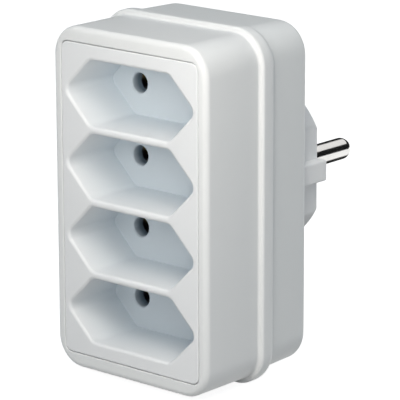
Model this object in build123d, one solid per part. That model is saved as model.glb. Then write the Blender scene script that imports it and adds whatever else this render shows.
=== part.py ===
from build123d import *
from math import cos, pi, radians, sin, sqrt, tan
import os

# Four-way socket adapter with a two-pin plug on its back, for 4 mm round-pin plugs.
# Everything is drawn as the adapter lies on its back on a bench: X to the right,
# Y up the tall side, Z from the plug's end face towards the sockets.
# It is stood up as it is written: the sockets then face -Y and the pins point to +Y.
# The origin is the centre of the plug's end face. All sizes are in millimetres.

# Levels along the depth
plug_reach = 8.4
cover_depth = 12.4
housing_depth = 20.6

# Front housing
side_border = 2.25
end_border = 3.2
housing_corner = 6.5
front_edge_round = 1.3
opening_edge_round = 0.25
housing_inner_round = 2.4
ridge_start = 15.9
ridge_flare = 1.2
ridge_turn = 2.2
ridge_reach = 1.15
ridge_root = 1.0

# Socket panel and its four recesses
socket_count = 4
socket_web = 1.65
recess_height = 14.0
recess_flat = 21.8
recess_depth = 14.0
recess_draft = 0.5
recess_tip_round = 1.8
recess_corner_round = 2.4
recess_edge_round = 0.75
panel_side_rim = 0.8
panel_end_rim = 3.17
panel_corner = 1.7
panel_gap = 0.15
panel_edge_round = 0.25
panel_floor = 3.0
flange_thickness = 1.6
flange_reach = 1.15
flange_clearance = 0.25
pocket_wall = 1.2
pocket_face = 1.8
plug_offset = 4.0

# Pin holes and contacts behind them
pin_spacing = 19.0
socket_pin_diameter = 4.0
hole_clearance = 0.3
hole_chamfer = 0.25
contact_sheet = 0.5
contact_length = 6.0
contact_spread = 0.9
contact_base_gap = 1.55
contact_setback = 0.6
contact_wrap = 50.0
contact_lip = 1.3
contact_lip_rise = 1.2
bus_bar_thickness = 0.8
bus_bar_width = 7.0
bus_bar_overhang = 3.5
bus_bar_clearance = 0.1
foot_width = 6.0
foot_thickness = 0.8
foot_bend = 0.4
rivet_diameter = 2.0
rivet_clearance = 0.05
rivet_inner_head = 0.6
rivet_inner_diameter = 3.4
rivet_outer_head = 0.8
rivet_outer_diameter = 3.6
rivet_edge_round = 0.35

# Walls and posts on the back of the panel
barrier_thickness = 1.6
barrier_clearance = 0.3
post_thickness = 1.3
post_length = 5.6
post_depth = 5.0
post_clearance = 0.3
pillar_diameter = 6.0
pillar_room = 0.35

# Rear cover with the plug body
cover_inset = 0.1
cover_top_rise = 0.75
cover_bottom_rise = 0.2
cover_corner = 7.2
cover_draft = 1.5
cover_wall = 1.6
cover_back_wall = 1.5
cover_back_round = 1.8
rim_height = 2.0
rim_thickness = 1.0
rim_clearance = 0.15
clamp_thickness = 1.6
clamp_length = 2.0
clamp_clearance = 0.2
clamp_root = 0.7
well_diameter = 6.4
well_wall = 1.1
well_depth = 6.4
well_floor = 1.6
pillar_clearance = 0.1
plug_radius = 19.0
plug_side_room = 1.1
plug_wall = 1.6
plug_end_wall = 2.0
plug_edge_round = 0.8
key_rib_height = 4.6
key_rib_reach = 2.4
key_rib_round = 0.5
boss_diameter = 9.0
boss_height = 1.5

# Pins of the plug
pin_diameter = 4.8
pin_length = 19.0
root_diameter = 5.2
root_proud = 0.2
root_clearance = 0.05
collar_diameter = 7.4
collar_height = 1.2
shank_diameter = 4.0
shank_length = 1.7
tail_diameter = 3.0
tail_clearance = 0.05
tail_head_diameter = 4.4
tail_head_height = 0.8
tail_edge_round = 0.3

# Cover screws
screw_diameter = 2.9
screw_hole_clearance = 0.2
screw_pilot_clearance = 0.05
screw_length = 8.0
screw_tip = 1.2
screw_tip_diameter = 0.7
screw_pilot_spare = 0.6
screw_head_diameter = 5.6
screw_head_height = 2.2
screw_head_round = 0.9
cross_width = 0.9
cross_span = 3.2
cross_depth = 1.2

# How far an edge may lie from a level and still count as on it
level_margin = 0.01

# Worked out from the sizes above: levels
seam_level = plug_reach + cover_depth
face_level = seam_level + housing_depth
floor_level = face_level - recess_depth
panel_back = floor_level - panel_floor
ledge_level = panel_back + flange_thickness
cover_inner_level = plug_reach + cover_back_wall
bus_bar_top = panel_back - bus_bar_clearance
bus_bar_bottom = bus_bar_top - bus_bar_width
contact_top = bus_bar_top - contact_setback
contact_bottom = contact_top - contact_length
pin_seat = plug_end_wall + boss_height
foot_level = pin_seat + collar_height + shank_length
foot_top = foot_level + foot_thickness
well_floor_level = plug_reach + well_depth
well_end = well_floor_level + well_floor
pillar_end = well_end + pillar_clearance

# Worked out from the sizes above: outlines and places
panel_y = -plug_offset
socket_pitch = recess_height + socket_web
recess_draw_in = recess_depth * tan(radians(recess_draft))
panel_width = recess_flat + recess_height + 2 * panel_side_rim
panel_height = (socket_count - 1) * socket_pitch + recess_height + 2 * panel_end_rim
housing_width = panel_width + 2 * (panel_gap + side_border)
housing_height = panel_height + 2 * (panel_gap + end_border)
cavity_width = panel_width + 2 * (panel_gap + flange_reach)
cavity_height = panel_height + 2 * (panel_gap + flange_reach)
cover_width = housing_width - 2 * cover_inset
cover_height = housing_height - 2 * cover_inset + cover_top_rise - cover_bottom_rise
cover_y = panel_y + (cover_top_rise + cover_bottom_rise) / 2
cover_draw_in = cover_depth * tan(radians(cover_draft))
pin_x = pin_spacing / 2
socket_rows = [panel_y + (row - (socket_count - 1) / 2) * socket_pitch for row in range(socket_count)]
hole_diameter = socket_pin_diameter + hole_clearance
contact_half_height = socket_pin_diameter / 2 + contact_spread
contact_base_x = pin_x + socket_pin_diameter / 2 + contact_base_gap
bus_bar_x = contact_base_x + contact_sheet / 2
bus_bar_outer_x = bus_bar_x + bus_bar_thickness
plug_flat = bus_bar_outer_x + plug_side_room + plug_wall
rivet_hole = rivet_diameter + 2 * rivet_clearance
pillar_inset = rim_clearance + rim_thickness + pillar_room + pillar_diameter / 2
screw_x = cavity_width / 2 - pillar_inset
screw_y = cavity_height / 2 - pillar_inset
screw_places = [(side * screw_x, panel_y + end * screw_y) for end in (1, -1) for side in (-1, 1)]
sides = {"live": -1, "neutral": 1}


def slab(sketch, bottom, top):
    """A flat outline pulled from one level to another."""
    return extrude(Pos(0, 0, bottom) * sketch, amount=top - bottom)


def rounded_block(width, height, corner, bottom, top):
    """A rounded rectangle on the panel's centre, pulled between two levels."""
    return slab(Pos(0, panel_y) * RectangleRounded(width, height, corner), bottom, top)


def post(diameter, x, y, bottom, top):
    """A round post or hole that stands along the depth."""
    return slab(Pos(x, y) * Circle(diameter / 2), bottom, top)


def box_between(x_range, y_range, z_range):
    """A box given by its limits along each axis."""
    size = [high - low for low, high in (x_range, y_range, z_range)]
    corner = [low for low, high in (x_range, y_range, z_range)]
    return Pos(*corner) * Box(*size, align=(Align.MIN, Align.MIN, Align.MIN))


def mirrored(shape, side):
    """The shape as drawn for the right side, or its mirror image for the left."""
    return shape if side > 0 else mirror(shape, about=Plane.YZ)


def edges_at(shape, level):
    """The edges that lie at one level."""
    return shape.edges().filter_by_position(Axis.Z, level - level_margin, level + level_margin)


def mouth_edges(shape):
    """The edges of the openings in the topmost face."""
    return [edge for wire in shape.faces().sort_by(Axis.Z)[-1].inner_wires() for edge in wire.edges()]


# Front housing
def ridge():
    """The skirt around the housing: it flares out, runs level and turns back in at the seam."""
    start = face_level - ridge_start
    crest_front = start - ridge_flare
    crest_back = seam_level + ridge_turn
    side_x = housing_width / 2
    crest_x = side_x + ridge_reach
    middle = ((side_x + crest_x) / 2, (start + crest_front) / 2)
    hollow = TangentArc((side_x, start), middle, tangent=(0, -1))
    swell = TangentArc(middle, (crest_x, crest_front), tangent=hollow % 1)
    crest = Line((crest_x, crest_front), (crest_x, crest_back))
    turn = EllipticalCenterArc((side_x, crest_back), ridge_reach, ridge_turn, start_angle=270, arc_size=90)
    root = Polyline(
        (side_x, seam_level),
        (side_x - ridge_root, seam_level),
        (side_x - ridge_root, start),
        (side_x, start),
    )
    profile = Plane.XZ * make_face(Curve() + [hollow, swell, crest, turn, root])
    path = RectangleRounded(housing_width, housing_height, housing_corner).wire()
    return Pos(0, panel_y) * sweep(profile, path=path)


def front_housing():
    """The outer sleeve: a tall rounded frame with a ledge inside that the socket panel bears on."""
    body = rounded_block(housing_width, housing_height, housing_corner, seam_level, face_level)
    body = fillet(edges_at(body, face_level), front_edge_round)
    body += ridge()
    opening = rounded_block(
        panel_width + 2 * panel_gap,
        panel_height + 2 * panel_gap,
        panel_corner + panel_gap,
        seam_level,
        face_level,
    )
    cavity = rounded_block(
        cavity_width,
        cavity_height,
        housing_inner_round,
        seam_level,
        ledge_level,
    )
    housing = body - opening - cavity
    return fillet(mouth_edges(housing), opening_edge_round)


# Socket panel
def recess_outline(inset):
    """The six-sided mouth of one socket, moved inwards by a distance."""
    half_height = recess_height / 2 - inset
    half_flat = recess_flat / 2 - inset * tan(pi / 8)
    half_width = half_flat + half_height
    tips = [(half_width, 0), (-half_width, 0)]
    corners = [(x * half_flat, y * half_height) for x, y in ((1, 1), (-1, 1), (-1, -1), (1, -1))]
    outline = Polygon(tips[0], corners[0], corners[1], tips[1], corners[2], corners[3])
    tip_vertices = outline.vertices().group_by(Axis.X)
    outline = fillet(tip_vertices[0] + tip_vertices[-1], recess_tip_round)
    flat_vertices = [v for v in outline.vertices() if abs(abs(v.Y) - half_height) < level_margin]
    return fillet(flat_vertices, recess_corner_round)


def recess():
    """One socket recess, drawn on its own centre, narrowing towards its floor."""
    floor = Pos(0, 0, floor_level) * recess_outline(recess_draw_in)
    mouth = Pos(0, 0, face_level) * recess_outline(0)
    return loft([floor, mouth])


def pin_hole(x, y):
    """A pin hole through the recess floor, with its broken edge."""
    radius = hole_diameter / 2
    hole = post(hole_diameter, x, y, panel_back, floor_level)
    flare = Pos(x, y, floor_level - hole_chamfer / 2) * Cone(radius, radius + hole_chamfer, hole_chamfer)
    return hole + flare


def side_pockets():
    """The three-sided hollows between the sockets' slanted ends, open at the back."""
    slope = pocket_wall * sqrt(2)
    web = (socket_pitch - recess_height) / 2
    apex_x = recess_flat / 2 - web + slope
    outer_x = panel_width / 2 - pocket_wall
    half = outer_x - apex_x
    outline = Polygon((apex_x, 0), (outer_x, half), (outer_x, -half), align=None)
    pockets = []
    for row in range(socket_count - 1):
        middle = (socket_rows[row] + socket_rows[row + 1]) / 2
        pocket = slab(Pos(0, middle) * outline, panel_back, face_level - pocket_face)
        pockets += [mirrored(pocket, side) for side in (-1, 1)]
    return pockets


def panel_back_walls():
    """Barrier between the poles, posts beside the bus bars and pillars for the screws."""
    half_height = panel_height / 2
    barrier = box_between(
        (-barrier_thickness / 2, barrier_thickness / 2),
        (panel_y - half_height, panel_y + half_height),
        (cover_inner_level + barrier_clearance, panel_back),
    )
    walls = [barrier]
    post_x = bus_bar_outer_x + rivet_outer_head + post_clearance
    for row in socket_rows:
        holder = box_between(
            (post_x, post_x + post_thickness),
            (row - post_length / 2, row + post_length / 2),
            (panel_back - post_depth, panel_back),
        )
        walls += [mirrored(holder, side) for side in (-1, 1)]
    for x, y in screw_places:
        walls.append(post(pillar_diameter, x, y, pillar_end, panel_back))
    return walls


def socket_panel():
    """The flush insert: four deep recesses, a bearing flange, and what holds the contacts behind."""
    panel = rounded_block(panel_width, panel_height, panel_corner, panel_back, face_level)
    panel = fillet(edges_at(panel, face_level), panel_edge_round)
    panel -= [Pos(0, row) * recess() for row in socket_rows]
    panel = fillet(mouth_edges(panel), recess_edge_round)
    panel += rounded_block(
        cavity_width - 2 * flange_clearance,
        cavity_height - 2 * flange_clearance,
        housing_inner_round - flange_clearance,
        panel_back,
        ledge_level,
    )
    panel -= [pin_hole(side * pin_x, row) for row in socket_rows for side in (-1, 1)]
    panel -= side_pockets()
    panel += panel_back_walls()
    pilot_top = well_floor_level + screw_length + screw_pilot_spare
    pilot = screw_diameter + 2 * screw_pilot_clearance
    return panel - [post(pilot, x, y, pillar_end, pilot_top) for x, y in screw_places]


# Rear cover
def plug_outline(inset):
    """The plug's round end with a flat on each side, moved inwards by a distance."""
    flats = Rectangle(2 * (plug_flat - inset), 2 * plug_radius)
    return Circle(plug_radius - inset) & flats


def key_rib(side):
    """The rib along one flat that guides the plug in the wall socket."""
    rib = box_between(
        (plug_flat - plug_wall, plug_flat + key_rib_reach),
        (-key_rib_height / 2, key_rib_height / 2),
        (0, cover_inner_level),
    )
    rib = fillet(rib.edges().filter_by(Axis.Z).group_by(Axis.X)[-1], key_rib_round)
    rib = fillet(rib.faces().sort_by(Axis.Z)[0].edges().sort_by(Axis.X)[-1], key_rib_round)
    return mirrored(rib, side)


def cover_shell():
    """The tapered outer form of the rear cover with the plug body on its back."""
    back = RectangleRounded(
        cover_width - 2 * cover_draw_in,
        cover_height - 2 * cover_draw_in,
        cover_corner - cover_draw_in,
    )
    seam = RectangleRounded(cover_width, cover_height, cover_corner)
    body = loft([Pos(0, cover_y, plug_reach) * back, Pos(0, cover_y, seam_level) * seam])
    body = fillet(edges_at(body, plug_reach), cover_back_round)
    plug = slab(plug_outline(0), 0, cover_inner_level)
    plug = fillet(edges_at(plug, 0), plug_edge_round)
    return body + plug + key_rib(-1) + key_rib(1)


def cover_hollow():
    """The room inside the cover and the plug body."""
    inset = cover_draw_in + cover_wall
    room = rounded_block(
        cover_width - 2 * inset,
        housing_height - 2 * (cover_inset + inset),
        cover_corner - inset,
        cover_inner_level,
        seam_level,
    )
    return room + slab(plug_outline(plug_wall), plug_end_wall, seam_level)


def rim():
    """The tongue around the cover's edge that enters the front housing."""
    outer = rounded_block(
        cavity_width - 2 * rim_clearance,
        cavity_height - 2 * rim_clearance,
        housing_inner_round - rim_clearance,
        seam_level - rim_thickness,
        seam_level + rim_height,
    )
    inner = rounded_block(
        cavity_width - 2 * (rim_clearance + rim_thickness),
        cavity_height - 2 * (rim_clearance + rim_thickness),
        housing_inner_round - rim_clearance - rim_thickness,
        seam_level - rim_thickness,
        seam_level + rim_height,
    )
    return outer - inner


def clamp_ribs():
    """Ribs inside the cover that keep the bus bars on the panel."""
    reach = bus_bar_bottom - clamp_clearance
    middle_x = bus_bar_x + bus_bar_thickness / 2
    ribs = []
    for row in (0, socket_count - 2):
        y = (socket_rows[row] + socket_rows[row + 1]) / 2
        rib = box_between(
            (middle_x - clamp_thickness / 2, middle_x + clamp_thickness / 2),
            (y - clamp_length / 2, y + clamp_length / 2),
            (plug_reach + clamp_root, reach),
        )
        ribs += [mirrored(rib, side) for side in (-1, 1)]
    return ribs


def rear_cover():
    """The back of the adapter: a shallow tray with screw wells and the hollow plug body."""
    cover = cover_shell() - cover_hollow()
    cover += rim()
    cover += clamp_ribs()
    well_outer = well_diameter + 2 * well_wall
    screw_hole = screw_diameter + 2 * screw_hole_clearance
    pin_bore = root_diameter + 2 * root_clearance
    for x, y in screw_places:
        cover += post(well_outer, x, y, cover_inner_level, well_end)
        cover -= post(well_diameter, x, y, plug_reach, well_floor_level)
        cover -= post(screw_hole, x, y, well_floor_level, well_end)
    for side in sides.values():
        cover += post(boss_diameter, side * pin_x, 0, plug_end_wall, pin_seat)
        cover -= post(pin_bore, side * pin_x, 0, 0, pin_seat)
    return cover


# Current path
def bus_bar(side):
    """A brass strip behind one column of holes, with an arm and a foot to the plug pin."""
    outer = bus_bar_outer_x
    strip = box_between(
        (bus_bar_x, outer),
        (socket_rows[0] - bus_bar_overhang, socket_rows[-1] + bus_bar_overhang),
        (bus_bar_bottom, bus_bar_top),
    )
    arm = box_between(
        (bus_bar_x, outer),
        (-foot_width / 2, foot_width / 2),
        (foot_level, bus_bar_bottom),
    )
    foot = box_between(
        (pin_x, outer),
        (-foot_width / 2, foot_width / 2),
        (foot_level, foot_top),
    )
    bar = strip + arm + foot + post(foot_width, pin_x, 0, foot_level, foot_top)
    outside = edges_at(bar, foot_level).filter_by(Axis.Y).sort_by(Axis.X)[-1]
    bar = fillet(outside, foot_bend + foot_thickness)
    inside = bar.edges().filter_by(Axis.Y).sort_by_distance((bus_bar_x, 0, foot_top))[0]
    bar = fillet(inside, foot_bend)
    bar -= post(tail_diameter + 2 * tail_clearance, pin_x, 0, foot_level, foot_top)
    bar -= [rivet_post(rivet_hole, row, bus_bar_x, outer) for row in socket_rows]
    return mirrored(bar, side)


def rivet_post(diameter, y, x_start, x_end):
    """A round post or hole across the bus bar, in the middle of the contact."""
    middle = (contact_top + contact_bottom) / 2
    across = Plane(origin=(x_start, y, middle), x_dir=(0, 1, 0), z_dir=(1, 0, 0))
    return extrude(across * Circle(diameter / 2), amount=x_end - x_start)


def contact_leaf(y_sign):
    """Centre line of one leaf: from the base, round the pin, to the turned-out lip."""
    grip = (socket_pin_diameter + contact_sheet) / 2
    reach_x = grip * cos(radians(contact_wrap))
    reach_y = grip * sin(radians(contact_wrap))
    base = Line(
        (contact_base_x, 0),
        (contact_base_x, y_sign * contact_half_height),
    )
    shoulder = Line(
        (contact_base_x, y_sign * contact_half_height),
        (pin_x + reach_x, y_sign * reach_y),
    )
    wrap = ThreePointArc(
        (pin_x + reach_x, y_sign * reach_y),
        (pin_x, y_sign * grip),
        (pin_x - reach_x, y_sign * reach_y),
    )
    lip = Line(
        (pin_x - reach_x, y_sign * reach_y),
        (pin_x - reach_x - contact_lip, y_sign * (reach_y + contact_lip_rise)),
    )
    return base + shoulder + wrap + lip


def contact(row, side):
    """A sprung brass clip that grips one round pin from above and below."""
    leaves = trace(contact_leaf(1), contact_sheet) + trace(contact_leaf(-1), contact_sheet)
    clip = slab(Pos(0, row) * leaves, contact_bottom, contact_top)
    clip -= rivet_post(rivet_hole, row, contact_base_x - contact_sheet, contact_base_x + contact_sheet)
    return mirrored(clip, side)


def rivet(row, side):
    """The rivet that joins one contact to its bus bar."""
    inner_x = contact_base_x - contact_sheet / 2
    outer_x = bus_bar_outer_x
    inner_head = rivet_post(rivet_inner_diameter, row, inner_x - rivet_inner_head, inner_x)
    outer_head = rivet_post(rivet_outer_diameter, row, outer_x, outer_x + rivet_outer_head)
    outer_head = fillet(outer_head.edges().sort_by(Axis.X)[-1], rivet_edge_round)
    return mirrored(inner_head + outer_head + rivet_post(rivet_diameter, row, inner_x, outer_x), side)


def plug_pin(side):
    """A plated round pin with its root in the moulding, its collar inside and its riveted tail."""
    radius = pin_diameter / 2
    dome = radius - pin_length
    head_end = foot_top + tail_head_height
    pin = post(pin_diameter, pin_x, 0, dome, -root_proud)
    pin += Pos(pin_x, 0, dome) * Sphere(radius)
    pin += post(root_diameter, pin_x, 0, -root_proud, pin_seat)
    pin += post(collar_diameter, pin_x, 0, pin_seat, pin_seat + collar_height)
    pin += post(shank_diameter, pin_x, 0, pin_seat + collar_height, foot_level)
    pin += post(tail_diameter, pin_x, 0, foot_level, foot_top)
    head = post(tail_head_diameter, pin_x, 0, foot_top, head_end)
    pin += fillet(edges_at(head, head_end), tail_edge_round)
    return mirrored(pin, side)


# Fasteners
def cover_screw(x, y):
    """A pan-head screw down in its well, with a cross recess."""
    seat = well_floor_level
    head = post(screw_head_diameter, x, y, seat - screw_head_height, seat)
    head = fillet(edges_at(head, seat - screw_head_height), screw_head_round)
    shank = post(screw_diameter, x, y, seat, seat + screw_length - screw_tip)
    tip_middle = seat + screw_length - screw_tip / 2
    tip = Pos(x, y, tip_middle) * Cone(screw_diameter / 2, screw_tip_diameter / 2, screw_tip)
    top = seat - screw_head_height
    cross = Rectangle(cross_span, cross_width) + Rectangle(cross_width, cross_span)
    return head + shank + tip - slab(Pos(x, y) * cross, top, top + cross_depth)


def all_nodes():
    """Every piece by its name."""
    nodes = {
        "front_housing": front_housing(),
        "socket_panel": socket_panel(),
        "rear_cover": rear_cover(),
    }
    for pole, side in sides.items():
        nodes[f"{pole}_bus_bar"] = bus_bar(side)
        nodes[f"{pole}_pin"] = plug_pin(side)
        for number, row in enumerate(reversed(socket_rows), start=1):
            nodes[f"{pole}_contact_{number}"] = contact(row, side)
            nodes[f"{pole}_rivet_{number}"] = rivet(row, side)
    for number, (x, y) in enumerate(screw_places, start=1):
        nodes[f"cover_screw_{number}"] = cover_screw(x, y)
    return nodes


os.makedirs("parts", exist_ok=True)
for name, shape in all_nodes().items():
    export_step(Plane.XZ * shape, f"parts/{name}.step")
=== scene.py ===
import logging
import math
from dataclasses import dataclass, field
from enum import Enum

import bpy
from mathutils import Matrix, Vector


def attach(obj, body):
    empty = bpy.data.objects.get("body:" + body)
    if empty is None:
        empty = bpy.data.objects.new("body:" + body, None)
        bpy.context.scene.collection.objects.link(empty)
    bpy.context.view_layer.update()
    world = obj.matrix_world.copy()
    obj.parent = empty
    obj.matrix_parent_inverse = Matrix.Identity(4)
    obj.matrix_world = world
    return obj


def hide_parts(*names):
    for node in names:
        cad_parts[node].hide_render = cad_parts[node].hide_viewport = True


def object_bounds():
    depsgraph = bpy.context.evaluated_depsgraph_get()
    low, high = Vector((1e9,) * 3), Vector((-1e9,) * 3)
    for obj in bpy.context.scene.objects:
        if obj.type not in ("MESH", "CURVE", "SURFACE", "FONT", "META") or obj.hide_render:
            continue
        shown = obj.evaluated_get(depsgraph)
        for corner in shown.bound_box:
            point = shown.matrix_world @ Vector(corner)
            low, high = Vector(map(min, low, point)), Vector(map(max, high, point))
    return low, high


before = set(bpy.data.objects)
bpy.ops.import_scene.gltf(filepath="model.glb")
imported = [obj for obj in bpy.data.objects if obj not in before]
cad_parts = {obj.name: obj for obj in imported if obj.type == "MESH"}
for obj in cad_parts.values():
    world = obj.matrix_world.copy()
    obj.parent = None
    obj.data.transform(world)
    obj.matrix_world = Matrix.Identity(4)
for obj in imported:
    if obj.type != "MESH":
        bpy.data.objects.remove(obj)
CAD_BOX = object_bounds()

log = logging.getLogger("adapter")
Rgb = tuple[float, float, float]
Colour = Rgb | bpy.types.NodeSocket
Number = float | bpy.types.NodeSocket

# The range that most of a noise's values lie in
NOISE_LOW, NOISE_HIGH = 0.3, 0.7
# In metres: points of a CAD node's triangles that are taken as one
WELD_DISTANCE = 0.000002
# From 1 to 100: how much a large face turns the shading of its edges
FLAT_FACE_WEIGHT = 80
# The camera's sensor in millimetres, and the nearest thing that it sees in metres
SENSOR_WIDTH = 36.0
NEAREST_SEEN = 0.01
# The colour of every lamp
WARM_WHITE: Rgb = (1.0, 0.96, 0.90)


class Pole(Enum):
    """The two sides of the current path."""

    LIVE = "live"
    NEUTRAL = "neutral"


class Grain(Enum):
    """How a metal's fine marks run on the piece."""

    ALONG_DEPTH = (1.0, 0.04, 1.0)
    ALONG_HEIGHT = (1.0, 1.0, 0.06)
    EVEN = (1.0, 1.0, 1.0)


# Finishes, some with painted light and painted shade
class Chart:
    """The node tree of one material, with short calls that add and join nodes."""

    def __init__(self, name: str) -> None:
        """Start an empty material.

        Args:
            name: The material's name.
        """
        self.material = bpy.data.materials.new(name)
        self.material.use_nodes = True
        self.tree = self.material.node_tree
        self.tree.nodes.clear()
        self.output = self.add("ShaderNodeOutputMaterial")
        self.shader = self.add("ShaderNodeBsdfPrincipled")
        self.join(self.shader.outputs["BSDF"], self.output.inputs["Surface"])
        self.place = self.add("ShaderNodeTexCoord").outputs["Object"]

    def add(self, kind: str) -> bpy.types.Node:
        """Add one node of a kind and return it."""
        return self.tree.nodes.new(kind)

    def join(self, source: bpy.types.NodeSocket, target: bpy.types.NodeSocket) -> None:
        """Join two sockets."""
        self.tree.links.new(source, target)

    def noise(self, scale: float, detail: float, stretch: tuple[float, float, float]) -> bpy.types.NodeSocket:
        """Add a noise on Object coordinates.

        Args:
            scale: Cells per metre.
            detail: Octaves of finer noise.
            stretch: Factors on X, Y and Z that lengthen or shorten the cells.

        Returns:
            The noise's factor socket.
        """
        mapping = self.add("ShaderNodeMapping")
        mapping.inputs["Scale"].default_value = stretch
        self.join(self.place, mapping.inputs["Vector"])
        noise = self.add("ShaderNodeTexNoise")
        noise.inputs["Scale"].default_value = scale
        noise.inputs["Detail"].default_value = detail
        self.join(mapping.outputs["Vector"], noise.inputs["Vector"])
        return noise.outputs["Fac"]

    def spread(self, source: bpy.types.NodeSocket, low: float, high: float) -> bpy.types.NodeSocket:
        """Map a noise's middle range to two values.

        Args:
            source: The noise's factor.
            low: The value where the noise is low.
            high: The value where the noise is high.

        Returns:
            The mapped socket.
        """
        node = self.add("ShaderNodeMapRange")
        node.inputs["From Min"].default_value = NOISE_LOW
        node.inputs["From Max"].default_value = NOISE_HIGH
        node.inputs["To Min"].default_value = low
        node.inputs["To Max"].default_value = high
        self.join(source, node.inputs["Value"])
        return node.outputs["Result"]

    def beyond(self, depth: float, soft: float) -> bpy.types.NodeSocket:
        """Tell what lies further back than a depth.

        Args:
            depth: The place on Y in metres.
            soft: Half the width of the change in metres.

        Returns:
            A socket that is 0 in front of the depth and 1 behind it.
        """
        parts = self.add("ShaderNodeSeparateXYZ")
        self.join(self.place, parts.inputs["Vector"])
        node = self.add("ShaderNodeMapRange")
        node.inputs["From Min"].default_value = depth - soft
        node.inputs["From Max"].default_value = depth + soft
        self.join(parts.outputs["Y"], node.inputs["Value"])
        return node.outputs["Result"]

    def calculate(self, kind: str, *values: Number) -> bpy.types.NodeSocket:
        """Work out one step of arithmetic.

        Args:
            kind: Blender's name for the step.
            values: Its numbers, or sockets that give them.

        Returns:
            The result's socket.
        """
        node = self.add("ShaderNodeMath")
        node.operation = kind
        for value, target in zip(values, node.inputs):
            if isinstance(value, float):
                target.default_value = value
            else:
                self.join(value, target)
        return node.outputs["Value"]

    def in_holes(self, reach: float, pitch: float, middle: float, radius: float) -> bpy.types.NodeSocket:
        """Tell what lies in or round the pin holes, at any depth.

        Args:
            reach: The holes' distance from the middle plane in metres.
            pitch: The distance between two rows of holes.
            middle: The height half-way between two rows.
            radius: How far from a hole's axis it counts.

        Returns:
            A socket that is 1 there and 0 elsewhere.
        """
        parts = self.add("ShaderNodeSeparateXYZ")
        self.join(self.place, parts.inputs["Vector"])
        across = self.calculate("SUBTRACT", self.calculate("ABSOLUTE", parts.outputs["X"]), reach)
        risen = self.calculate("WRAP", self.calculate("SUBTRACT", parts.outputs["Z"], middle), pitch, 0.0)
        along = self.calculate("SUBTRACT", risen, pitch / 2)
        squares = [self.calculate("MULTIPLY", side, side) for side in (across, along)]
        square = self.calculate("ADD", *squares)
        return self.calculate("LESS_THAN", square, radius * radius)

    def blend(self, factor: bpy.types.NodeSocket, first: Colour, second: Colour) -> bpy.types.NodeSocket:
        """Mix two colours by a factor.

        Args:
            factor: Where the second colour shows.
            first: The first colour, as red, green and blue or as a socket.
            second: The second colour, as red, green and blue or as a socket.

        Returns:
            The mixed colour's socket.
        """
        node = self.add("ShaderNodeMix")
        node.data_type = "RGBA"
        for colour, target in zip((first, second), [s for s in node.inputs if s.type == "RGBA"]):
            if isinstance(colour, tuple):
                target.default_value = (*colour, 1.0)
            else:
                self.join(colour, target)
        self.join(factor, node.inputs[0])
        return [s for s in node.outputs if s.type == "RGBA"][0]

    def bump(self, height: bpy.types.NodeSocket, depth: float, strength: float) -> None:
        """Raise the surface by a height pattern, over any bump that is there already.

        Args:
            height: The pattern.
            depth: Its height in metres.
            strength: Its share, from 0 to 1.
        """
        node = self.add("ShaderNodeBump")
        node.inputs["Distance"].default_value = depth
        node.inputs["Strength"].default_value = strength
        self.join(height, node.inputs["Height"])
        normal = self.shader.inputs["Normal"]
        if normal.is_linked:
            self.join(normal.links[0].from_socket, node.inputs["Normal"])
        self.join(node.outputs["Normal"], normal)


@dataclass(frozen=True)
class MouldedPlastic:
    """Satin white plastic: a faint tone drift, soft waviness and a fine spark-eroded grain."""

    name: str
    colour: Rgb
    drift: float = 0.985
    drift_detail: float = 2.0
    roughness: float = 0.40
    roughness_spread: float = 0.05
    drift_scale: float = 32.0
    wave_scale: float = 240.0
    grain_scale: float = 7000.0
    wave_detail: float = 1.0
    wave_depth: float = 0.00006
    wave_strength: float = 0.25
    grain_detail: float = 2.0
    grain_depth: float = 0.00001
    grain_strength: float = 0.5
    refraction: float = 1.5

    def build(self) -> bpy.types.Material:
        """Make the material.

        Returns:
            The material.
        """
        chart = Chart(self.name)
        chart.join(self.tone(chart), chart.shader.inputs["Base Color"])
        grain = chart.noise(self.grain_scale, self.grain_detail, Grain.EVEN.value)
        low = self.roughness - self.roughness_spread
        high = self.roughness + self.roughness_spread
        chart.join(chart.spread(grain, low, high), chart.shader.inputs["Roughness"])
        waves = chart.noise(self.wave_scale, self.wave_detail, Grain.EVEN.value)
        chart.bump(waves, self.wave_depth, self.wave_strength)
        chart.bump(grain, self.grain_depth, self.grain_strength)
        chart.shader.inputs["IOR"].default_value = self.refraction
        return chart.material

    def tone(self, chart: Chart) -> bpy.types.NodeSocket:
        """Make the colour with its faint drift.

        Args:
            chart: The material's node tree.

        Returns:
            The colour's socket.
        """
        clouds = chart.noise(self.drift_scale, self.drift_detail, Grain.EVEN.value)
        drift = chart.spread(clouds, 0.0, 1.0)
        return chart.blend(drift, self.colour, tuple(channel * self.drift for channel in self.colour))


@dataclass(frozen=True)
class CoverPlastic(MouldedPlastic):
    """The rear cover's plastic, with painted light: the plug body behind it is coloured lighter than the
    sides.
    """

    # Painted light: the plug body is coloured lighter than the cover, as if more light fell on it
    plug_painted_light_colour: Rgb = (0.90, 0.90, 0.90)
    plug_start: float = -0.0083
    plug_soft: float = 0.00005

    def tone(self, chart: Chart) -> bpy.types.NodeSocket:
        """Make the colour of the cover, and the lighter colour of the plug body behind it, which is painted
        light.

        Args:
            chart: The material's node tree.

        Returns:
            The colour's socket.
        """
        # Painted light on the plug body
        plug = chart.beyond(self.plug_start, self.plug_soft)
        return chart.blend(plug, super().tone(chart), self.plug_painted_light_colour)


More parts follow.
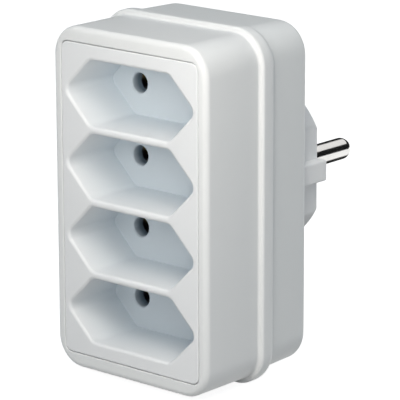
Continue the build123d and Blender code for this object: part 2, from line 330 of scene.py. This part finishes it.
@dataclass(frozen=True)
class PanelPlastic(MouldedPlastic):
    """The socket panel's plastic, with painted shade: cooler down in the recesses and dark inside the pin
    holes.

    A change of colour is given by its middle on Y and half its width there, in metres. The bore's
    other sizes are those of the part's pin holes.
    """

    # Painted shade: the colour deep in the recesses and the dark colour inside the pin holes
    recess_shade_colour: Rgb = (0.74, 0.80, 0.845)
    recess_middle: float = -0.0344
    recess_soft: float = 0.0070
    bore_shade_colour: Rgb = (0.22, 0.29, 0.36)
    bore_middle: float = -0.0263
    bore_soft: float = 0.0010
    bore_reach: float = 0.0095
    bore_pitch: float = 0.01565
    bore_height: float = -0.0040
    bore_radius: float = 0.0022

    def tone(self, chart: Chart) -> bpy.types.NodeSocket:
        """Take the plastic's own tone on the face, and paint shade further in: the recesses' cooler colour
        and the pin holes' dark colour.

        Args:
            chart: The material's node tree.

        Returns:
            The colour's socket.
        """
        # Painted shade, deeper into the recesses and inside the pin holes
        recess_shade_mask = chart.beyond(self.recess_middle, self.recess_soft)
        shaded_recess = chart.blend(recess_shade_mask, super().tone(chart), self.recess_shade_colour)
        holes = chart.in_holes(self.bore_reach, self.bore_pitch, self.bore_height, self.bore_radius)
        bore = chart.calculate("MULTIPLY", holes, chart.beyond(self.bore_middle, self.bore_soft))
        return chart.blend(bore, shaded_recess, self.bore_shade_colour)


@dataclass(frozen=True)
class BareMetal:
    """Polished or drawn metal with fine lengthwise marks and a faint change of tone."""

    name: str
    colour: Rgb
    # The second end of the tone: tarnish on most metals, painted shade on the contacts
    tarnish_and_shade: Rgb
    roughness: float
    roughness_spread: float
    grain: Grain
    tarnish_scale: float = 160.0
    grain_scale: float = 5200.0
    detail: float = 3.0
    grain_depth: float = 0.000006
    grain_strength: float = 0.3

    def build(self) -> bpy.types.Material:
        """Make the material.

        Returns:
            The material.
        """
        chart = Chart(self.name)
        tone = chart.spread(chart.noise(self.tarnish_scale, self.detail, Grain.EVEN.value), 0.0, 1.0)
        chart.join(chart.blend(tone, self.colour, self.tarnish_and_shade), chart.shader.inputs["Base Color"])
        marks = chart.noise(self.grain_scale, self.detail, self.grain.value)
        low = self.roughness - self.roughness_spread
        high = self.roughness + self.roughness_spread
        chart.join(chart.spread(marks, low, high), chart.shader.inputs["Roughness"])
        chart.bump(marks, self.grain_depth, self.grain_strength)
        chart.shader.inputs["Metallic"].default_value = 1.0
        return chart.material


# Work on meshes
def only(piece: bpy.types.Object) -> None:
    """Select one object alone and make it active.

    Args:
        piece: The object.
    """
    bpy.ops.object.select_all(action="DESELECT")
    piece.hide_set(False)
    piece.select_set(True)
    bpy.context.view_layer.objects.active = piece


def dress(piece: bpy.types.Object, material: bpy.types.Material) -> None:
    """Give a piece one material in place of what it had."""
    piece.data.materials.clear()
    piece.data.materials.append(material)


def smooth_copy(node: str, name: str, angle: float) -> bpy.types.Object:
    """Copy a CAD node, weld its facets and smooth it, and show it in the node's place.

    Args:
        node: The CAD node.
        name: The new piece's name.
        angle: The sharpest turn in degrees that is still shaded as a curve.

    Returns:
        The new piece.
    """
    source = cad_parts[node]
    only(source)
    bpy.ops.object.duplicate()
    piece = bpy.context.view_layer.objects.active
    piece.name = name
    piece.parent = None
    for key in [k for k in piece.keys() if k.startswith("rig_")]:
        del piece[key]
    bpy.ops.object.mode_set(mode="EDIT")
    bpy.ops.mesh.select_all(action="SELECT")
    if piece.data.has_custom_normals:
        bpy.ops.mesh.customdata_custom_splitnormals_clear()
    bpy.ops.mesh.remove_doubles(threshold=WELD_DISTANCE)
    bpy.ops.object.mode_set(mode="OBJECT")
    bpy.ops.object.shade_smooth_by_angle(angle=math.radians(angle))
    weighted = piece.modifiers.new("even_faces", "WEIGHTED_NORMAL")
    weighted.keep_sharp = True
    weighted.weight = FLAT_FACE_WEIGHT
    bpy.ops.object.modifier_apply(modifier=weighted.name)
    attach(piece, "root")
    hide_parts(node)
    return piece


# Sub-assemblies
@dataclass
class MouldedShells:
    """The three white mouldings: front housing, socket panel and rear cover."""

    housing_finish: MouldedPlastic = MouldedPlastic("housing_white", (0.79, 0.80, 0.80))
    # The panel's recesses and pin holes carry painted shade
    panel_finish_and_painted_shade: MouldedPlastic = PanelPlastic("panel_white", (0.81, 0.82, 0.83))
    # The cover's plug body carries painted light
    cover_finish_and_painted_light: MouldedPlastic = CoverPlastic("cover_white", (0.775, 0.79, 0.79))
    smooth_angle: float = 32.0

    def build(self) -> list[bpy.types.Object]:
        """Make the three shells.

        Returns:
            The pieces.
        """
        made = []
        finishes = {
            "front_housing": self.housing_finish,
            "socket_panel": self.panel_finish_and_painted_shade,
            "rear_cover": self.cover_finish_and_painted_light,
        }
        for node, finish in finishes.items():
            piece = smooth_copy(node, f"{node}_moulding", self.smooth_angle)
            dress(piece, finish.build())
            made.append(piece)
        return made


@dataclass
class CurrentPath:
    """The metal that carries the current: pins, bus bars, sprung contacts and rivets."""

    pin_finish: BareMetal = BareMetal(
        "pin_nickel", (0.78, 0.77, 0.75), (0.70, 0.69, 0.67), 0.14, 0.03, Grain.ALONG_DEPTH)
    bar_finish: BareMetal = BareMetal(
        "bus_bar_brass", (0.72, 0.54, 0.24), (0.60, 0.42, 0.18), 0.32, 0.07, Grain.ALONG_HEIGHT)
    # Painted shade: the contacts' nickel is coloured dark so that the pin holes look dark inside
    contact_finish_and_painted_shade: BareMetal = BareMetal(
        "contact_nickel", (0.30, 0.31, 0.33), (0.22, 0.23, 0.25), 0.40, 0.06, Grain.ALONG_DEPTH)
    rivet_finish: BareMetal = BareMetal(
        "rivet_brass", (0.66, 0.52, 0.28), (0.50, 0.38, 0.20), 0.30, 0.06, Grain.EVEN)
    socket_count: int = 4
    smooth_angle: float = 40.0

    def build(self) -> list[bpy.types.Object]:
        """Dress every metal node of both poles.

        Returns:
            The pieces.
        """
        pin, bar = self.pin_finish.build(), self.bar_finish.build()
        contact, rivet = self.contact_finish_and_painted_shade.build(), self.rivet_finish.build()
        made = []
        for pole in Pole:
            made.append(self._copy(f"{pole.value}_pin", pin))
            made.append(self._copy(f"{pole.value}_bus_bar", bar))
            for number in range(1, self.socket_count + 1):
                made.append(self._copy(f"{pole.value}_contact_{number}", contact))
                made.append(self._copy(f"{pole.value}_rivet_{number}", rivet))
        return made

    def _copy(self, node: str, material: bpy.types.Material) -> bpy.types.Object:
        """Show one node as a smooth piece.

        Args:
            node: The CAD node.
            material: Its finish.

        Returns:
            The piece.
        """
        piece = smooth_copy(node, f"{node}_metal", self.smooth_angle)
        dress(piece, material)
        return piece


@dataclass
class CoverScrews:
    """The four pan-head screws in the wells on the back."""

    finish: BareMetal = BareMetal(
        "screw_steel", (0.62, 0.63, 0.65), (0.50, 0.51, 0.53), 0.30, 0.06, Grain.EVEN)
    count: int = 4
    smooth_angle: float = 35.0

    def build(self) -> list[bpy.types.Object]:
        """Dress the screws.

        Returns:
            The pieces.
        """
        steel = self.finish.build()
        made = []
        for number in range(1, self.count + 1):
            piece = smooth_copy(f"cover_screw_{number}", f"cover_screw_{number}_steel", self.smooth_angle)
            dress(piece, steel)
            made.append(piece)
        return made


# Stage
@dataclass(frozen=True)
class SoftLight:
    """One square lamp that looks at the object: angles in degrees, lengths in metres, power in watts.

    A lamp that isn't mirrored lights the surfaces but puts no highlight on them.
    """

    name: str
    azimuth: float
    elevation: float
    distance: float
    size: float
    power: float
    colour: Rgb = WARM_WHITE
    mirrored: bool = True

    def build(self, target: Vector) -> bpy.types.Object:
        """Hang the lamp.

        Args:
            target: The point that it looks at.

        Returns:
            The lamp.
        """
        lamp = bpy.data.lights.new(self.name, "AREA")
        lamp.shape = "SQUARE"
        lamp.size = self.size
        lamp.energy = self.power
        lamp.color = self.colour
        piece = bpy.data.objects.new(self.name, lamp)
        bpy.context.scene.collection.objects.link(piece)
        turn, rise = math.radians(self.azimuth), math.radians(self.elevation)
        away = Vector((math.sin(turn) * math.cos(rise), -math.cos(turn) * math.cos(rise), math.sin(rise)))
        piece.location = target + away * self.distance
        piece.rotation_mode = "QUATERNION"
        piece.rotation_quaternion = (-away).to_track_quat("-Z", "Y")
        piece.visible_glossy = self.mirrored
        return piece


@dataclass
class Studio:
    """A plain white floor, soft lamps and the camera at the photograph's view.

    Places and sizes are in metres, the view's angles in degrees and the lens in millimetres.
    """

    floor_half: float = 3.0
    floor_colour: Rgb = (0.42, 0.42, 0.42)
    floor_lift: float = 0.90
    flag_radius: float = 1.0
    flag_height: float = 0.64
    flag_sides: int = 96
    card: tuple[tuple[float, float], tuple[float, float]] = ((-0.10, 0.02), (0.0215, 0.09))
    card_lift: float = 0.0005
    flag_colour: Rgb = (0.02, 0.02, 0.02)
    backdrop_strength: float = 1.0
    sky_colour: Rgb = (0.80, 1.0, 1.20)
    sky_strength: float = 0.22
    lamps: list[SoftLight] = field(default_factory=lambda: [
        SoftLight("key_lamp", 20.0, 60.0, 0.60, 0.30, 0.72),
        SoftLight("side_lamp", 45.0, 50.0, 0.60, 0.30, 0.72),
        SoftLight("front_lamp", 30.0, 14.0, 0.60, 0.30, 0.47),
        SoftLight("near_lamp", 30.0, 30.0, 0.13, 0.06, 0.056, mirrored=False),
        SoftLight("fill_lamp", 345.0, 18.0, 0.60, 0.30, 0.10),
        SoftLight("left_lamp", 272.0, 12.0, 0.60, 0.20, 0.38),
        SoftLight("rear_lamp", 178.0, 10.0, 0.60, 0.20, 1.70, mirrored=False),
    ])
    view_turn: float = 40.98
    view_pitch: float = 14.95
    view_roll: float = 0.19
    view_distance: float = 0.5616
    view_offset: tuple[float, float] = (0.01461, 0.00246)
    lens: float = 245.35
    panel_height: float = -0.004

    def build(self) -> None:
        """Set up the whole stage."""
        self._floor()
        self._flags()
        self._sky()
        target = (CAD_BOX[0] + CAD_BOX[1]) / 2
        for lamp in self.lamps:
            lamp.build(target)
        self._camera()
        bpy.context.scene.view_settings.view_transform = "Standard"

    def _floor(self) -> None:
        """Lay the floor under the object's lowest point."""
        bpy.ops.object.select_all(action="DESELECT")
        bpy.ops.mesh.primitive_plane_add(size=2 * self.floor_half, location=(0, 0, CAD_BOX[0].z))
        floor = bpy.context.view_layer.objects.active
        floor.name = "floor"
        material = bpy.data.materials.new("floor_white")
        material.use_nodes = True
        nodes, links = material.node_tree.nodes, material.node_tree.links
        nodes.clear()
        paint = nodes.new("ShaderNodeBsdfDiffuse")
        paint.inputs["Color"].default_value = (*self.floor_colour, 1.0)
        lift = nodes.new("ShaderNodeEmission")
        seen = self._seen_rays(nodes, links)
        share = nodes.new("ShaderNodeMath")
        share.operation = "MULTIPLY"
        share.inputs[1].default_value = self.floor_lift
        links.new(seen, share.inputs[0])
        links.new(share.outputs[0], lift.inputs["Strength"])
        both = nodes.new("ShaderNodeAddShader")
        links.new(paint.outputs[0], both.inputs[0])
        links.new(lift.outputs[0], both.inputs[1])
        output = nodes.new("ShaderNodeOutputMaterial")
        links.new(both.outputs[0], output.inputs["Surface"])
        dress(floor, material)

    def _flags(self) -> None:
        """Hang a black cloth all round and lay a card behind the pins, which only metal mirrors."""
        black = bpy.data.materials.new("flag_black")
        black.use_nodes = True
        shader = black.node_tree.nodes["Principled BSDF"]
        shader.inputs["Base Color"].default_value = (*self.flag_colour, 1.0)
        shader.inputs["Roughness"].default_value = 1.0
        floor = CAD_BOX[0].z
        bpy.ops.object.select_all(action="DESELECT")
        bpy.ops.mesh.primitive_cylinder_add(
            vertices=self.flag_sides, radius=self.flag_radius, depth=self.flag_height,
            end_fill_type="NOTHING", location=(0, 0, floor + self.flag_height / 2))
        cloth = bpy.context.view_layer.objects.active
        bpy.ops.object.select_all(action="DESELECT")
        low, high = self.card
        bpy.ops.mesh.primitive_plane_add(
            size=1, location=((low[0] + high[0]) / 2, (low[1] + high[1]) / 2, floor + self.card_lift))
        card = bpy.context.view_layer.objects.active
        card.scale = (high[0] - low[0], high[1] - low[1], 1)
        for name, piece in (("flag_cloth", cloth), ("flag_card", card)):
            piece.name = name
            dress(piece, black)
            piece.visible_camera = False
            piece.visible_diffuse = False
            piece.visible_transmission = False
            piece.visible_shadow = False

    @staticmethod
    def _seen_rays(nodes: bpy.types.Nodes, links: bpy.types.NodeLinks) -> bpy.types.NodeSocket:
        """Tell the rays that show a surface to the camera, also through gloss and glass.

        Args:
            nodes: The tree's nodes.
            links: The tree's links.

        Returns:
            A socket that is 1 for those rays.
        """
        path = nodes.new("ShaderNodeLightPath")
        first = nodes.new("ShaderNodeMath")
        first.operation = "MAXIMUM"
        second = nodes.new("ShaderNodeMath")
        second.operation = "MAXIMUM"
        links.new(path.outputs["Is Camera Ray"], first.inputs[0])
        links.new(path.outputs["Is Glossy Ray"], first.inputs[1])
        links.new(first.outputs[0], second.inputs[0])
        links.new(path.outputs["Is Transmission Ray"], second.inputs[1])
        return second.outputs[0]

    def _sky(self) -> None:
        """Light the object evenly from all round."""
        world = bpy.data.worlds.new("sky")
        bpy.context.scene.world = world
        world.use_nodes = True
        nodes = world.node_tree.nodes
        links = world.node_tree.links
        background = nodes["Background"]
        seen = self._seen_rays(nodes, links)
        shown = nodes.new("ShaderNodeMix")
        shown.data_type = "RGBA"
        colours = [s for s in shown.inputs if s.type == "RGBA"]
        colours[0].default_value = (*(c * self.sky_strength for c in self.sky_colour), 1.0)
        colours[1].default_value = (self.backdrop_strength,) * 3 + (1.0,)
        links.new(seen, shown.inputs[0])
        links.new([s for s in shown.outputs if s.type == "RGBA"][0], background.inputs["Color"])

    def _camera(self) -> None:
        """Place the camera as the photograph's was."""
        turn, pitch, roll = (math.radians(a) for a in (self.view_turn, self.view_pitch, self.view_roll))
        right = Vector((math.cos(turn), math.sin(turn), 0.0))
        forward = Vector((
            -math.sin(turn) * math.cos(pitch), math.cos(turn) * math.cos(pitch), -math.sin(pitch)))
        up = right.cross(forward)
        side = right * math.cos(roll) - up * math.sin(roll)
        top = right * math.sin(roll) + up * math.cos(roll)
        face_centre = Vector((0.0, CAD_BOX[0].y, self.panel_height))
        camera = bpy.data.cameras.new("camera")
        camera.lens = self.lens
        camera.sensor_width = SENSOR_WIDTH
        camera.clip_start = NEAREST_SEEN
        piece = bpy.data.objects.new("camera", camera)
        bpy.context.scene.collection.objects.link(piece)
        place = face_centre + side * self.view_offset[0] + top * self.view_offset[1]
        piece.matrix_world = Matrix.Translation(place - forward * self.view_distance) @ Matrix((
            (side.x, top.x, -forward.x, 0.0),
            (side.y, top.y, -forward.y, 0.0),
            (side.z, top.z, -forward.z, 0.0),
            (0.0, 0.0, 0.0, 1.0),
        ))
        bpy.context.scene.camera = piece


def main() -> None:
    """Build every sub-assembly, report its pieces, and set the stage."""
    logging.basicConfig(level=logging.INFO, format="%(name)s: %(message)s")
    for assembly in (MouldedShells(), CurrentPath(), CoverScrews()):
        for piece in assembly.build():
            log.info("%s: %s, %d faces", type(assembly).__name__, piece.name, len(piece.data.polygons))
    Studio().build()


if __name__ == "__main__":
    main()
